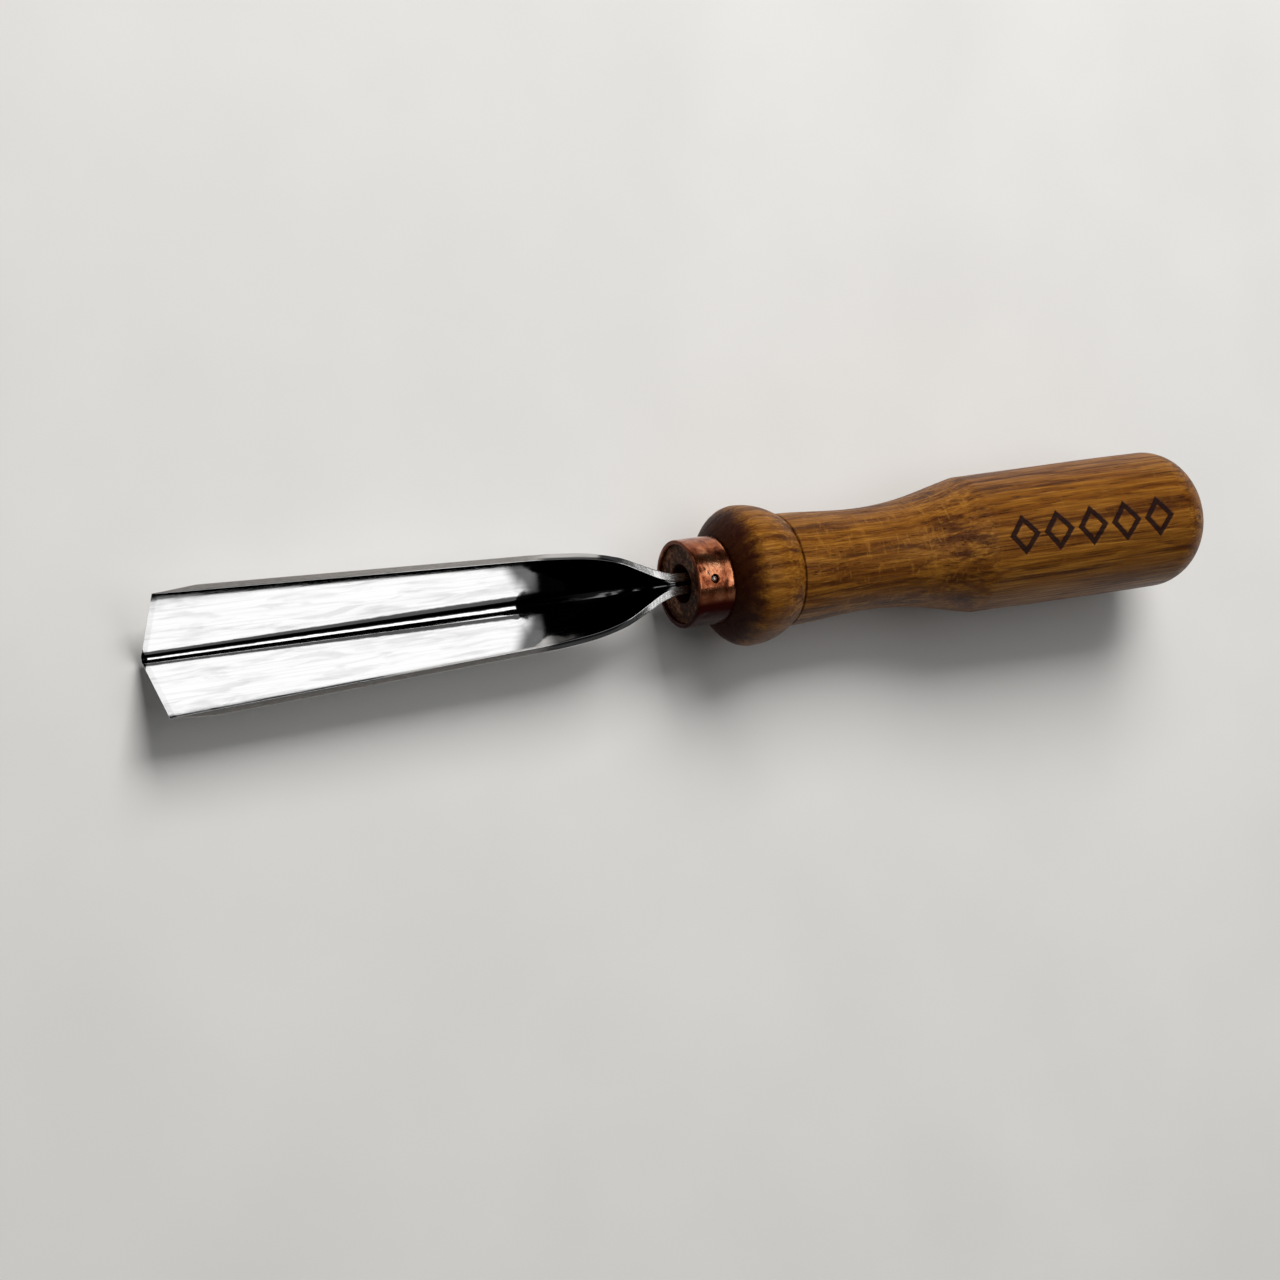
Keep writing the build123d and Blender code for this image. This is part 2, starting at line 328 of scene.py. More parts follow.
def even_angles(count):
    return [2 * pi * step / count for step in range(count)]


def marked_angles(count, fine_count, fine_half):
    """Angles all round, closer together over the ornament, which is centred on angle 0."""
    fine = [lerp(-fine_half, fine_half, step / fine_count) for step in range(fine_count)]
    rest = [lerp(fine_half, 2 * pi - fine_half, step / count) for step in range(count)]
    return fine + rest


# ---------------------------------------------------------------- the handle
def waist_radius(x):
    """Radius between the scribed line and the grip's ridge, on a curve through WAIST."""
    for (x0, r0, s0), (x1, r1, s1) in zip(WAIST, WAIST[1:]):
        if x >= x1:
            span = x1 - x0
            t = (x - x0) / span
            return (r0 * (1 + 2 * t) * (1 - t) ** 2 + s0 * span * t * (1 - t) ** 2
                    + r1 * t ** 2 * (3 - 2 * t) - s1 * span * t ** 2 * (1 - t))
    return WAIST[-1][1]


def belly_radius(x):
    share = (GRIP_X - x) / (GRIP_X - DOME_X)
    return lerp(WAIST[-1][1], BELLY_R, smooth(0, 1, share)) + BELLY_SWELL * 4 * share * (1 - share)


def steps_between(start, end, step):
    count = max(1, round(abs(end - start) / step))
    return [lerp(start, end, i / count) for i in range(count)]


def handle_profile():
    """(x, radius) from the end of the bore, out of the mouth and over the handle to its end."""
    inside = [(BORE_END_X, BORE_R), (BORE_STEP_X, BORE_R), (BORE_STEP_X, MOUTH_R), (MOUTH_X, MOUTH_R)]
    mouth = [(END_GRAIN_X - 0.12, MOUTH_R + 0.1), (END_GRAIN_X, MOUTH_R + 0.35)]
    face = [(END_GRAIN_X, r) for r in steps_between(MOUTH_R + 0.6, SEAT_R - 0.1, 0.35)]
    seat = [(END_GRAIN_X, SEAT_R - 0.1), (END_GRAIN_X - 0.1, SEAT_R), (-FERRULE_LENGTH, SEAT_R)]
    front_start = asin((-FERRULE_LENGTH - BULB_X) / BULB_FRONT)
    front = [(BULB_X + BULB_FRONT * sin(a), BULB_R * cos(a))
             for a in steps_between(front_start, 0, 0.04)]
    rear_end = asin((BULB_X - LINE_X) / BULB_REAR)
    rear = [(BULB_X - BULB_REAR * sin(a), BULB_R * cos(a))
            for a in steps_between(0, rear_end, 0.03)]
    top = BULB_R * cos(rear_end)
    line = [(LINE_X - LINE_WIDTH * across, top - LINE_DEPTH * down)
            for across, down in ((0, 0), (0.35, 0.8), (0.5, 1), (0.65, 0.8))]
    waist = [(x, waist_radius(x)) for x in steps_between(WAIST[0][0], GRIP_X, 0.35)]
    belly = [(x, belly_radius(x)) for x in steps_between(GRIP_X, DOME_X, 0.35)]
    depth = DOME_X - HANDLE_END_X
    dome = [(DOME_X - depth * sin(a), BELLY_R * cos(a))
            for a in steps_between(0, DOME_STOP, 0.035)]
    end = [(HANDLE_END_X + 0.06, 1.9), (HANDLE_END_X + 0.04, 0.9)]
    return inside + mouth + face + seat + front + rear + line + waist + belly + dome + end


def mark_share(x, across):
    """1 inside a stroke of the ornament, a row of hollow lozenges, and 0 outside it."""
    along = MARK_FRONT_X - x
    if not 0 <= along <= MARK_PITCH * MARK_COUNT:
        return 0.0
    from_middle = abs(along % MARK_PITCH - MARK_PITCH / 2)
    ring = abs(from_middle / MARK_HALF_LENGTH + abs(across) / MARK_HALF_HEIGHT - MARK_RING)
    return 1 - smooth(*MARK_STROKE, ring)


def wood_relief(x, angle, radius):
    """Grain standing a little proud, torn fibres by the scribed line, and the burned ornament."""
    if radius < SEAT_R + 0.5 and x > -FERRULE_LENGTH - 0.01:
        rough = noise.noise(Vector((radius * 2.2 * sin(angle), radius * 2.2 * cos(angle), 3.0)))
        return 0.05 * rough if x < END_GRAIN_X - 0.05 else 0.0
    y, z = radius * sin(angle), radius * cos(angle)
    fibre = noise.noise(Vector((x * 0.06, y * 0.9, z * 0.9)))
    plane = noise.noise(Vector((x * 0.03, y * 0.16, z * 0.16)))
    torn = noise.noise(Vector((x * 0.7, y * 1.5, z * 1.5)))
    tear = smooth(0.32, 0.6, torn) * smooth(-36.0, -27.0, x) * (1 - smooth(-22.0, -19.0, x))
    across = atan2(sin(angle), cos(angle)) * radius
    fade = smooth(HANDLE_END_X, HANDLE_END_X + 3.0, x)
    grain = fade * (0.02 * fibre + 0.05 * plane - 0.06)
    return grain - 0.13 * tear - MARK_DEPTH * mark_share(x, across)


def build_handle(bm):
    turned(bm, handle_profile(), marked_angles(120, 90, 0.36), wood_relief, True, True)


def make_handle():
    handle = mesh_object("turned_handle", build_handle)
    shade(handle, 40)
    handle.data.materials.append(wood_material())
    return adopt(handle, "handle_wood", "handle")


# ---------------------------------------------------------------- ferrule and pin
PIN_X = -4.1
PIN_R = 0.65
PIN_HOLE_R = 0.95
PIN_FOOT = 4.9
PIN_TOP = 9.35
FERRULE_BORE_R = 8.76
# x, angle and depth of small knocks in the copper
KNOCKS = [(-1.3, -0.25, 0.09), (-7.4, 0.12, 0.08), (-6.2, -0.55, 0.07), (-2.4, 0.9, 0.08),
          (-5.0, 2.2, 0.08), (-1.0, 3.6, 0.1), (-7.8, 4.8, 0.09), (-3.2, -0.15, 0.05)]


def knocked(x, angle, radius):
    """Small dents and an uneven skin; the bore stays true."""
    if radius < FERRULE_R - 0.5:
        return 0.0
    dent = 0.0
    for at_x, at_angle, depth in KNOCKS:
        away = hypot(x - at_x, (atan2(sin(angle - at_angle), cos(angle - at_angle))) * radius)
        dent += depth * (1 - smooth(0.2, 1.1, away))
    wave = noise.noise(Vector((x * 0.35, radius * sin(angle) * 0.22, radius * cos(angle) * 0.22)))
    return -dent - 0.035 * (1 + wave)


def ferrule_profile():
    """(x, radius) once round the tube's wall, with rolled edges."""
    cut = 0.3
    outer_x = steps_between(-cut, -FERRULE_LENGTH + cut, 0.3)
    outer = [(x, FERRULE_R) for x in outer_x] + [(-FERRULE_LENGTH + cut, FERRULE_R)]
    back = [(-FERRULE_LENGTH + 0.09, FERRULE_R - 0.09), (-FERRULE_LENGTH, FERRULE_R - cut),
            (-FERRULE_LENGTH, FERRULE_BORE_R)]
    front = [(-0.15, FERRULE_BORE_R), (0, FERRULE_BORE_R + 0.15), (0, FERRULE_R - cut),
             (-0.09, FERRULE_R - 0.09)]
    return outer + back + front


def build_ferrule(bm):
    rows = turned(bm, ferrule_profile(), even_angles(192), knocked)
    first, last = rows[0], rows[-1]
    for i in range(len(first)):
        j = (i + 1) % len(first)
        bm.faces.new((last[i], last[j], first[j], first[i]))


def build_drill(bm):
    """The bar that cuts the hole for the pin, with a slight countersink at the skin."""
    levels = [(7.0, PIN_HOLE_R), (FERRULE_R - 0.3, PIN_HOLE_R), (FERRULE_R, PIN_HOLE_R + 0.14),
              (11.0, PIN_HOLE_R + 0.4)]
    rows = skin(bm, [[(PIN_X + r * cos(a), r * sin(a), z) for a in even_angles(40)] for z, r in levels])
    bm.faces.new(rows[0])
    bm.faces.new(list(reversed(rows[-1])))


def make_ferrule():
    tube = mesh_object("copper_ferrule", build_ferrule)
    drill = mesh_object("pin_drill", build_drill)
    cut = tube.modifiers.new("pin_hole", "BOOLEAN")
    cut.object = drill
    cut.operation = "DIFFERENCE"
    cut.solver = "EXACT"
    depsgraph = bpy.context.evaluated_depsgraph_get()
    tube.data = bpy.data.meshes.new_from_object(tube.evaluated_get(depsgraph))
    tube.modifiers.clear()
    bpy.data.objects.remove(drill)
    shade(tube, 35)
    tube.data.materials.clear()
    tube.data.materials.append(copper_material())
    return adopt(tube, "ferrule_copper", "ferrule")


def build_pin(bm):
    """A straight brad with a slightly domed, filed end."""
    levels = [(PIN_FOOT, PIN_R), (PIN_TOP - 0.35, PIN_R), (PIN_TOP - 0.16, PIN_R * 0.93),
              (PIN_TOP - 0.05, PIN_R * 0.7), (PIN_TOP, PIN_R * 0.35)]
    rows = skin(bm, [[(PIN_X + r * cos(a), r * sin(a), z) for a in even_angles(32)] for z, r in levels])
    bm.faces.new(rows[0])
    bm.faces.new(list(reversed(rows[-1])))


def make_pin():
    pin = mesh_object("ferrule_brad", build_pin)
    shade(pin, 40)
    pin.data.materials.append(brad_material())
    return adopt(pin, "pin_steel", "ferrule_pin")


# ---------------------------------------------------------------- material helpers
class Recipe:
    """Short calls that add nodes to one material."""

    def __init__(self, name):
        self.material = bpy.data.materials.new(name)
        self.material.use_nodes = True
        self.tree = self.material.node_tree
        self.shader = self.tree.nodes["Principled BSDF"]
        place = self.add("ShaderNodeTexCoord").outputs["Object"]
        turn = TOOL.to_3x3().normalized().inverted()
        start = -1000 * (turn @ TOOL.translation)
        self.place = self.add("ShaderNodeMapping", Vector=place, Location=start,
                              Rotation=turn.to_euler(), Scale=(1000, 1000, 1000)).outputs[0]

    def add(self, kind, settings=None, **inputs):
        node = self.tree.nodes.new(kind)
        for key, value in (settings or {}).items():
            setattr(node, key, value)
        for key, value in inputs.items():
            self.put(node.inputs[key.replace("_", " ")], value)
        return node

    def put(self, socket, value):
        if isinstance(value, bpy.types.NodeSocket):
            self.tree.links.new(value, socket)
        else:
            socket.default_value = value

    def math(self, operation, *values):
        node = self.add("ShaderNodeMath", {"operation": operation})
        for socket, value in zip(node.inputs, values):
            self.put(socket, value)
        return node.outputs[0]

    def times(self, first, second):
        return self.math("MULTIPLY", first, second)

    def plus(self, first, second):
        return self.math("ADD", first, second)

    def minus(self, first, second):
        return self.math("SUBTRACT", first, second)

    def axes(self):
        """The tool's X, Y and Z in millimetres."""
        return self.add("ShaderNodeSeparateXYZ", Vector=self.place).outputs

    def stretched(self, scale, shift=(0, 0, 0)):
        """The tool's millimetres, scaled along each axis."""
        return self.add("ShaderNodeMapping", Vector=self.place, Scale=scale, Location=shift).outputs[0]

    def noise(self, vector, detail=3.0, rough=0.5, twist=0.0):
        return self.add("ShaderNodeTexNoise", Vector=vector, Scale=1.0, Detail=detail, Roughness=rough,
                        Distortion=twist).outputs["Fac"]

    def band(self, value, low, high, out_low=0.0, out_high=1.0):
        """value from low to high, taken smoothly to out_low to out_high and held beyond."""
        node = self.add("ShaderNodeMapRange", {"interpolation_type": "SMOOTHSTEP"}, Value=value)
        node.inputs["From Min"].default_value = low
        node.inputs["From Max"].default_value = high
        node.inputs["To Min"].default_value = out_low
        node.inputs["To Max"].default_value = out_high
        return node.outputs[0]

    def ramp(self, value, stops):
        node = self.add("ShaderNodeValToRGB", Fac=value)
        elements = node.color_ramp.elements
        while len(elements) < len(stops):
            elements.new(0.5)
        for element, (position, colour) in zip(elements, stops):
            element.position = position
            element.color = (*colour, 1)
        return node.outputs["Color"]

    def mix(self, share, first, second, blend="MIX"):
        node = self.add("ShaderNodeMix", {"data_type": "RGBA", "blend_type": blend})
        self.put(node.inputs[0], share)
        for socket, colour in ((node.inputs[6], first), (node.inputs[7], second)):
            self.put(socket, colour if isinstance(colour, bpy.types.NodeSocket) else (*colour, 1))
        return node.outputs[2]

    def bump(self, height, distance_mm, strength=1.0, normal=None):
        node = self.add("ShaderNodeBump", Height=height, Strength=strength, Distance=distance_mm / 1000)
        if normal is not None:
            self.put(node.inputs["Normal"], normal)
        return node.outputs[0]

    def finish(self, **inputs):
        for key, value in inputs.items():
            self.put(self.shader.inputs[key.replace("_", " ")], value)
        return self.material


# ---------------------------------------------------------------- materials
def steel_material():
    """Polished tool steel with streaks, painted dark reflection along the groove and in the scoop, a filed
    neck and a honed edge.
    """
    mat = Recipe("polished_steel")
    x, y, z = mat.axes()
    streaks = mat.noise(mat.stretched((0.02, 1.5, 1.5)), 4.0, 0.6)
    slant = mat.noise(mat.stretched((0.07, 0.4, 0.4), (7, 3, 1)), 3.0, 0.55, 0.5)
    fine = mat.noise(mat.stretched((0.2, 20.0, 20.0)), 2.0, 0.5)
    hatch = mat.noise(mat.stretched((5.0, 0.4, 0.4)), 3.0, 0.7)
    rim = edge_face(mat, x, y, z)
    hollow = inside_hollow(mat, x, y, z)
    filed = mat.times(mat.band(x, FILED_TO, FILED_FROM, 1.0, 0.0), mat.band(z, 2.1, 2.5))
    filed = mat.times(filed, mat.minus(1.0, hollow))
    honed = mat.times(mat.band(x, HONE_X - 0.05, HONE_X + 0.05), mat.band(z, UNDERSIDE_Z - 0.1, UNDERSIDE_Z))
    tint = mat.ramp(streaks, [(0.3, (0.73, 0.73, 0.73)), (0.48, (0.80, 0.80, 0.80)),
                              (0.7, (0.83, 0.83, 0.83))])
    tint = mat.mix(mat.band(slant, 0.52, 0.68, 0.0, 0.55), tint, (0.58, 0.58, 0.58))
    # Painted shade and dark reflection: the scoop and the slit behind the shoulder are painted near black,
    # fading out at the shoulder.
    scale = mat.times(hollow, mat.band(x, SHOULDER_X - 6.0, SHOULDER_X - 2.0, 0.9, 0.0))
    tint = mat.mix(scale, tint, (0.03, 0.03, 0.03))
    ground = mat.ramp(fine, [(0.35, (0.24, 0.22, 0.21)), (0.65, (0.40, 0.38, 0.36))])
    tint = mat.mix(mat.times(rim, 0.85), tint, ground)
    scraped = mat.ramp(hatch, [(0.3, (0.42, 0.41, 0.40)), (0.65, (0.86, 0.85, 0.84))])
    tint = mat.mix(mat.times(filed, 0.95), tint, scraped)
    tint = mat.mix(mat.times(honed, 0.12), tint, (0.5, 0.5, 0.5))
    # Painted dark reflection: near-black bands on both sides of the groove's bottom.
    tint = mat.mix(groove_painted_reflection(mat, x, y, z), tint, (0.012, 0.010, 0.010))
    dull = mat.plus(mat.band(streaks, 0.35, 0.75, 0.03, 0.08), mat.band(slant, 0.5, 0.8, 0.0, 0.08))
    dull = mat.plus(dull, mat.times(filed, 0.2))
    dull = mat.plus(dull, mat.times(rim, 0.22))
    height = mat.plus(mat.times(fine, 0.15), mat.times(streaks, 0.4))
    height = mat.plus(height, mat.times(mat.times(hatch, filed), 2.5))
    return mat.finish(Base_Color=tint, Metallic=1.0, Roughness=dull, Normal=mat.bump(height, 0.01, 0.5))


def edge_face(mat, x, y, z):
    """1 on the ground faces along the wings' upper edges, outside the inner arris."""
    ahead = mat.math("DIVIDE", mat.minus(x, SHOULDER_X), BLADE_REACH - SHOULDER_X)
    arris = mat.plus(WING_HALF[0], mat.times(ahead, WING_HALF[1] - WING_HALF[0]))
    outside = mat.band(mat.minus(mat.math("ABSOLUTE", y), arris), 0.02, 0.12)
    outside = mat.times(outside, mat.band(x, 30.0, 38.0))
    lip = mat.plus(WING_LIP[0], mat.times(ahead, WING_LIP[1] - WING_LIP[0]))
    return mat.times(outside, mat.band(mat.minus(z, lip), -1.6, -1.3))


# The hollow behind the shoulder, as simple rules that follow NECK.
FLOOR_RISE = 0.225          # the floor climbs this much for each millimetre back
WALL_EASE = 0.0175          # and its walls lean back by this much
LEAST_SLOPE = 0.68          # but no further than this slope
SLIT_HALF = 0.5             # the slit between the arms is no narrower than this
SLIT_SPREAD = 0.0262        # it opens with the square of the distance from the neck's end
SCOOP_SPREAD = 0.48         # and then evenly into the scoop


def inside_hollow(mat, x, y, z):
    """1 on the walls of the scoop and of the slit between the neck's arms, 0 outside them."""
    back = mat.minus(SHOULDER_X, x)
    floor = mat.plus(WING_LIP[0] - WING_HALF[0], mat.times(back, FLOOR_RISE))
    slope = mat.math("MAXIMUM", LEAST_SLOPE, mat.minus(1.0, mat.times(back, WALL_EASE)))
    wall = mat.plus(floor, mat.times(mat.math("ABSOLUTE", y), slope))
    from_end = mat.math("MAXIMUM", mat.minus(x, NECK_END_X), 0.0)
    narrow = mat.plus(SLIT_HALF / 2, mat.times(mat.times(from_end, from_end), SLIT_SPREAD))
    half = mat.math("MINIMUM", narrow, mat.minus(mat.times(x, SCOOP_SPREAD), 1.0))
    half = mat.math("MAXIMUM", half, SLIT_HALF)
    between = mat.band(mat.minus(half, mat.math("ABSOLUTE", y)), -0.15, 0.1)
    return mat.times(mat.band(mat.minus(z, wall), -1.2, -0.6), between)


def groove_painted_reflection(mat, x, y, z):
    """Painted dark reflection on both sides of the groove's bottom, broken in places."""
    pits = mat.noise(mat.stretched((0.5, 3.0, 3.0), (4, 4, 4)), 3.0, 0.6)
    reach = mat.band(x, SHOULDER_X, BLADE_REACH, 2.5, 1.55)
    place = mat.plus(mat.math("DIVIDE", y, reach), mat.times(mat.minus(pits, 0.5), 0.18))
    upper = mat.times(mat.band(place, -1.0, -0.86), mat.band(place, -0.14, -0.06, 1.0, 0.0))
    lower = mat.times(mat.band(place, 0.12, 0.2), mat.band(place, 0.42, 0.52, 1.0, 0.0))
    inside = mat.times(mat.band(z, UNDERSIDE_Z - 0.2, UNDERSIDE_Z), mat.band(x, 20.0, 30.0))
    return mat.times(mat.math("MAXIMUM", upper, lower), mat.times(inside, 0.93))


def copper_material():
    """Copper tube, rubbed bright, with a tarnished dark front rim and painted shade that darkens its shaded
    side towards +Y.
    """
    mat = Recipe("rubbed_copper")
    cloud = mat.noise(mat.stretched((0.4, 0.3, 0.3)), 4.0, 0.6, 0.4)
    specks = mat.noise(mat.stretched((2.4, 2.4, 2.4)), 3.0, 0.65)
    turning = mat.noise(mat.stretched((14.0, 0.25, 0.25)), 2.0, 0.5)
    tint = mat.ramp(cloud, [(0.34, (0.16, 0.035, 0.014)), (0.52, (0.46, 0.15, 0.065)),
                            (0.7, (0.80, 0.37, 0.20))])
    tint = mat.mix(mat.band(specks, 0.58, 0.74, 0.0, 0.6), tint, (0.10, 0.025, 0.012))
    x, y, z = mat.axes()
    rim = mat.times(mat.band(x, -0.35, -0.05), 0.75)
    # Painted shade: the side towards +Y is painted near black and made less metallic; only the front rim's
    # darkening is tarnish.
    low = mat.band(mat.minus(y, mat.times(z, 0.35)), -1.0, 3.0)
    rim_tarnish_and_painted_shade = mat.math("MAXIMUM", rim, low)
    tint = mat.mix(rim_tarnish_and_painted_shade, tint, (0.030, 0.003, 0.002))
    dull = mat.plus(mat.band(cloud, 0.3, 0.7, 0.24, 0.12), mat.band(specks, 0.5, 0.75, 0.0, 0.2))
    height = mat.plus(mat.times(turning, 0.4), mat.times(specks, 1.0))
    height = mat.plus(height, mat.times(cloud, 3.0))
    return mat.finish(Base_Color=tint, Metallic=mat.minus(1.0, rim_tarnish_and_painted_shade),
                      Roughness=dull, Specular_IOR_Level=0.05, Normal=mat.bump(height, 0.025, 0.5))


def brad_material():
    """A filed steel brad end."""
    mat = Recipe("filed_brad")
    scratch = mat.noise(mat.stretched((9.0, 2.0, 1.0)), 3.0, 0.6)
    tint = mat.ramp(scratch, [(0.35, (0.30, 0.24, 0.2)), (0.65, (0.75, 0.68, 0.62))])
    return mat.finish(Base_Color=tint, Metallic=1.0, Roughness=mat.band(scratch, 0.3, 0.7, 0.2, 0.45),
                      Normal=mat.bump(scratch, 0.02))


def resin_material():
    """Dark bedding resin round the tang."""
    mat = Recipe("bedding_resin")
    mottle = mat.noise(mat.stretched((1.2, 1.2, 1.2)), 4.0, 0.6)
    tint = mat.ramp(mottle, [(0.3, (0.006, 0.004, 0.003)), (0.7, (0.022, 0.014, 0.009))])
    return mat.finish(Base_Color=tint, Roughness=mat.band(mottle, 0.3, 0.7, 0.4, 0.7),
                      Normal=mat.bump(mottle, 0.1))


def ornament_mask(mat, edge_noise):
    """The strokes of the burned lozenges: the same rule as mark_share, with an uneven edge."""
    x, y, z = mat.axes()
    along = mat.minus(MARK_FRONT_X, x)
    across = mat.times(mat.math("ARCTAN2", y, z), MARK_R)
    inside = mat.times(mat.math("GREATER_THAN", along, 0.0),
                      mat.math("LESS_THAN", along, MARK_PITCH * MARK_COUNT))
    middle = mat.math("ABSOLUTE", mat.minus(mat.math("MODULO", along, MARK_PITCH), MARK_PITCH / 2))
    reach = mat.plus(mat.math("DIVIDE", middle, MARK_HALF_LENGTH),
                     mat.math("DIVIDE", mat.math("ABSOLUTE", across), MARK_HALF_HEIGHT))
    ring = mat.math("ABSOLUTE", mat.minus(reach, MARK_RING))
    ring = mat.plus(ring, mat.times(mat.minus(edge_noise, 0.5), 0.06))
    return mat.times(mat.band(ring, 0.16, 0.25, 1.0, 0.0), inside)


def wood_figure(mat, y, z, wobble):
    """Late wood of the growth rings: 1 in the dark lines, which turn round a far-off pith."""
    drift = mat.noise(mat.stretched((0.018, 0.08, 0.08)), 3.0, 0.5)
    away_y, away_z = mat.plus(y, 38.0), mat.plus(z, 20.0)
    squares = mat.plus(mat.times(away_y, away_y), mat.times(away_z, away_z))
    rings = mat.math("SQRT", squares)
    rings = mat.plus(rings, mat.times(drift, 14.0))
    rings = mat.plus(rings, mat.times(wobble, 1.3))
    ring = mat.math("FRACT", mat.math("DIVIDE", rings, 3.1))
    late = mat.times(mat.band(ring, 0.4, 0.82), mat.band(ring, 0.86, 1.0, 1.0, 0.0))
    return ring, late


def wood_material():
    """Oiled golden-brown oak: growth rings, pores, fibres, curly figure, darker end grain and bulb."""
    mat = Recipe("oiled_oak")
    x, y, z = mat.axes()
    wobble = mat.noise(mat.stretched((0.14, 0.5, 0.5), (3, 9, 2)), 3.0, 0.55)
    ring, late = wood_figure(mat, y, z, wobble)
    fibre = mat.noise(mat.stretched((0.06, 2.4, 2.4)), 4.0, 0.65)
    streak = mat.noise(mat.stretched((0.022, 0.5, 0.5), (11, 5, 8)), 4.0, 0.65, 0.3)
    pores = mat.noise(mat.stretched((0.2, 5.0, 5.0), (5, 2, 7)), 2.0, 0.5)
    pores = mat.times(mat.band(pores, 0.58, 0.7), mat.band(ring, 0.3, 0.75, 0.35, 1.0))
    curl = mat.noise(mat.stretched((0.65, 0.22, 0.22), (2, 8, 4)), 3.0, 0.6, 0.9)
    cloud = mat.noise(mat.stretched((0.03, 0.08, 0.08), (1, 1, 6)), 2.0, 0.5)
    tint = mat.ramp(fibre, [(0.28, (0.110, 0.036, 0.0030)), (0.5, (0.228, 0.086, 0.0085)),
                            (0.70, (0.38, 0.170, 0.024))])
    tint = mat.mix(mat.band(cloud, 0.35, 0.65, 0.0, 0.4), tint, (0.120, 0.034, 0.002))
    tint = mat.mix(mat.times(late, 0.6), tint, (0.095, 0.024, 0.002))
    tint = mat.mix(mat.band(streak, 0.48, 0.64, 0.0, 0.85), tint, (0.048, 0.011, 0.0009))
    waist = mat.times(mat.band(x, -76.0, -66.0), mat.band(x, -34.0, -24.0, 1.0, 0.25))
    curly = mat.plus(mat.times(waist, 0.75), 0.25)
    shine = mat.times(mat.band(curl, 0.54, 0.72, 0.0, 0.35), curly)
    tint = mat.mix(shine, tint, (0.42, 0.185, 0.028))
    tint = mat.mix(mat.times(pores, 0.8), tint, (0.022, 0.006, 0.001))
    bulb_front = mat.band(mat.plus(x, mat.times(wobble, 4.0)), -13.2, -9.3, 0.0, 0.93)
    tint = mat.mix(bulb_front, tint, (0.020, 0.0022, 0.0006))
    from_line = mat.math("ABSOLUTE", mat.minus(x, LINE_X - LINE_WIDTH / 2))
    line = mat.times(mat.band(from_line, 0.1, 0.6, 1.0, 0.0), mat.band(curl, 0.4, 0.6, 0.1, 0.8))
    tint = mat.mix(line, tint, (0.035, 0.010, 0.002))
    char = ornament_mask(mat, fibre)
    tint = mat.mix(mat.times(char, 0.95), tint, (0.012, 0.004, 0.004))
    tint = mat.mix(mat.band(x, -1.5, -0.95), tint, end_grain(mat))
    dull = mat.plus(mat.band(fibre, 0.3, 0.7, 0.50, 0.36), mat.times(pores, 0.25))
    dull = mat.plus(dull, mat.times(char, 0.2))
    height = mat.minus(mat.times(fibre, 1.0), mat.times(pores, 1.2))
    height = mat.plus(height, mat.times(curl, mat.plus(waist, 0.3)))
    height = mat.minus(height, mat.times(late, 0.5))
    return mat.finish(Base_Color=tint, Roughness=dull, Normal=mat.bump(height, 0.08, 0.9),
                      Specular_IOR_Level=mat.band(x, -15.0, -9.5, 0.2, 0.04))


def end_grain(mat):
    """Oil-dark end grain round the tang, mottled and a little lighter in patches."""
    mottle = mat.noise(mat.stretched((0.5, 0.9, 0.9), (6, 2, 3)), 4.0, 0.7)
    return mat.ramp(mottle, [(0.34, (0.012, 0.004, 0.002)), (0.5, (0.050, 0.017, 0.008)),
                             (0.64, (0.20, 0.095, 0.045))])


def floor_material():
    """A plain pale studio sheet with a faint mottle."""
    mat = Recipe("pale_sheet")
    mottle = mat.noise(mat.stretched((0.02, 0.02, 0.02)), 3.0, 0.5)
    tint = mat.ramp(mottle, [(0.3, (0.74, 0.735, 0.725)), (0.7, (0.78, 0.775, 0.765))])
    return mat.finish(Base_Color=tint, Roughness=0.7)


def flag_material():
    mat = Recipe("black_flag")
    return mat.finish(Base_Color=(0.0, 0.0, 0.0, 1), Roughness=1.0, Specular_IOR_Level=0.0)


# ---------------------------------------------------------------- camera, floor and light
VIEW_TILT = 27.72           # the camera leans this far from the V's open side towards the tip
VIEW_ROLL = 8.42            # and the picture is turned this much about the line of sight
VIEW_DISTANCE = 697.5       # camera to the ferrule's front, mm
FERRULE_RIGHT = 8.26        # the ferrule's front lies this far right of the line of sight
FERRULE_ABOVE = 12.11       # and this far above it
AIM_X = 20.0                # point on the axis that lights and flags face
FLOOR_SIZE = 8.0            # metres
LENS = 90
SENSOR_WIDTH = 36


def facing(tilt, side):
    """A direction in the tool's frame: tilt degrees towards the tip, side degrees towards +Y."""
    a, b = radians(tilt), radians(side)
    return Vector((sin(a) * cos(b), sin(b), cos(a) * cos(b)))


def looking_from(direction, distance):
    """Matrix of something that stands that way from the aim point, facing it, level across the tool."""
    across = (Vector((0, 1, 0)) - direction * direction.y).normalized()
    axes = Matrix((across, direction.cross(across), direction)).transposed()
    place = TOOL @ (Vector((AIM_X, 0, 0)) + direction * distance)
    return Matrix.Translation(place) @ (TOOL.to_3x3().normalized() @ axes).to_4x4()


def make_camera():
    away = facing(VIEW_TILT, 0)
    level = Vector((-cos(radians(VIEW_TILT)), 0, sin(radians(VIEW_TILT))))
    roll = radians(VIEW_ROLL)
    right = level * cos(roll) + Vector((0, 1, 0)) * sin(roll)
    down = Vector((0, 1, 0)) * cos(roll) - level * sin(roll)
    place = away * VIEW_DISTANCE - right * FERRULE_RIGHT + down * FERRULE_ABOVE
    turn = TOOL.to_3x3().normalized()
    axes = Matrix((turn @ right, turn @ -down, turn @ away)).transposed()
    data = bpy.data.cameras.new("camera")
    data.lens = LENS
    data.sensor_width = SENSOR_WIDTH
    data.clip_start = 0.01
    camera = bpy.data.objects.new("camera", data)
    camera.matrix_world = Matrix.Translation(TOOL @ place) @ axes.to_4x4()
    bpy.context.scene.collection.objects.link(camera)
    bpy.context.scene.camera = camera


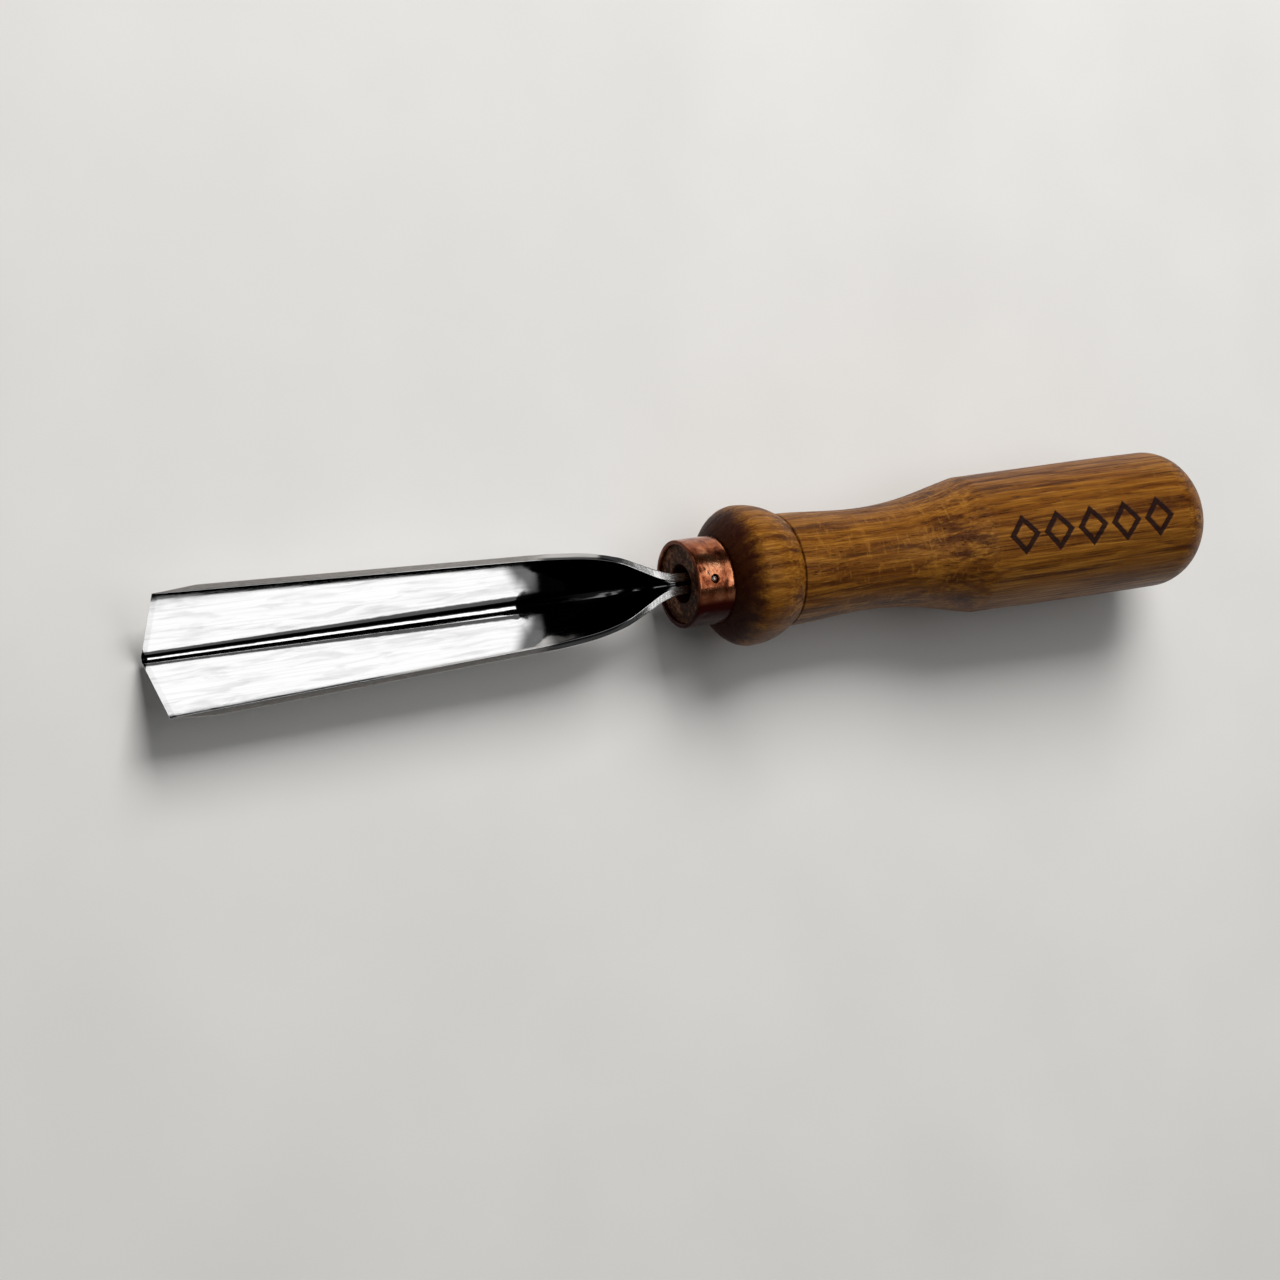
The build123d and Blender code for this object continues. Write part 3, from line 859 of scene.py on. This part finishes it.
def make_sheet(name, width, height, matrix, material):
    """A flat stage panel, divided so that it isn't a single face."""
    bm = bmesh.new()
    bmesh.ops.create_grid(bm, x_segments=8, y_segments=8, size=0.5)
    bmesh.ops.scale(bm, vec=(width, height, 1), verts=bm.verts)
    mesh = bpy.data.meshes.new(name)
    bm.to_mesh(mesh)
    bm.free()
    panel = bpy.data.objects.new(name, mesh)
    panel.matrix_world = matrix
    mesh.materials.append(material)
    bpy.context.scene.collection.objects.link(panel)
    return panel


def make_softbox(name, tilt, side, distance, width, height, power, colour=(1, 1, 1)):
    """A soft light; its distance is in millimetres from the aim point, its size in metres."""
    data = bpy.data.lights.new(name, "AREA")
    data.shape = "RECTANGLE"
    data.size, data.size_y = width, height
    data.energy = power
    data.color = colour
    light = bpy.data.objects.new(name, data)
    light.matrix_world = looking_from(facing(tilt, side), distance)
    bpy.context.scene.collection.objects.link(light)
    return light


def make_flag(name, tilt, side, distance, width, height, material):
    """A black card that only reflections see."""
    flag = make_sheet(name, width, height, looking_from(facing(tilt, side), distance), material)
    flag.visible_camera = False
    flag.visible_diffuse = False
    flag.visible_shadow = False
    flag.visible_transmission = False


def make_world():
    """A room that is pale to the camera, and dark to reflections except beyond the cutting edge."""
    world = bpy.data.worlds.new("studio")
    world.use_nodes = True
    tree = world.node_tree

    def lit(shade):
        room = tree.nodes.new("ShaderNodeBackground")
        room.inputs["Color"].default_value = (shade, shade, shade, 1)
        return room.outputs[0]

    def either(share, first, second):
        choice = tree.nodes.new("ShaderNodeMixShader")
        for socket, source in zip(choice.inputs, (share, first, second)):
            tree.links.new(source, socket)
        return choice.outputs[0]

    place = tree.nodes.new("ShaderNodeTexCoord").outputs["Generated"]
    split = tree.nodes.new("ShaderNodeSeparateXYZ")
    tree.links.new(place, split.inputs[0])
    ahead = tree.nodes.new("ShaderNodeMapRange")
    for key, number in (("From Min", -0.15), ("From Max", -0.5)):
        ahead.inputs[key].default_value = number
    tree.links.new(split.outputs[0], ahead.inputs["Value"])
    path = tree.nodes.new("ShaderNodeLightPath").outputs
    mirrored = either(ahead.outputs[0], lit(0.045), lit(0.35))
    pieces = either(path["Is Glossy Ray"], lit(0.08), mirrored)
    seen = either(path["Is Camera Ray"], pieces, lit(0.6))
    tree.links.new(seen, tree.nodes["World Output"].inputs["Surface"])
    bpy.context.scene.world = world


def make_stage():
    make_sheet("floor", FLOOR_SIZE, FLOOR_SIZE, Matrix.Identity(4), floor_material())
    make_softbox("panel", tilt=-20.5, side=-11, distance=660, width=0.684, height=0.325, power=1.05)
    make_softbox("window", tilt=-80, side=-61, distance=900, width=0.3, height=0.26, power=0.14,
                 colour=(1.0, 0.97, 0.93))
    key = make_softbox("key", tilt=-14, side=-42, distance=1400, width=0.8, height=0.8, power=20,
                       colour=(1.0, 0.98, 0.95))
    key.visible_glossy = False
    black = flag_material()
    make_flag("flag_above", 3.4, 0, 581, 1.1, 0.165, black)
    make_flag("flag_side", 0, 62, 600, 0.7, 0.6, black)
    make_flag("flag_near_side", 0, -50, 430, 0.62, 0.36, black)
    make_world()
    bpy.context.scene.view_settings.view_transform = "Standard"


# ---------------------------------------------------------------- the scene
make_camera()
make_blade()
make_handle()
make_ferrule()
make_pin()
bedding = frame["nodes"]["tang_bedding"]
bedding.data.materials.clear()
bedding.data.materials.append(resin_material())
make_stage()
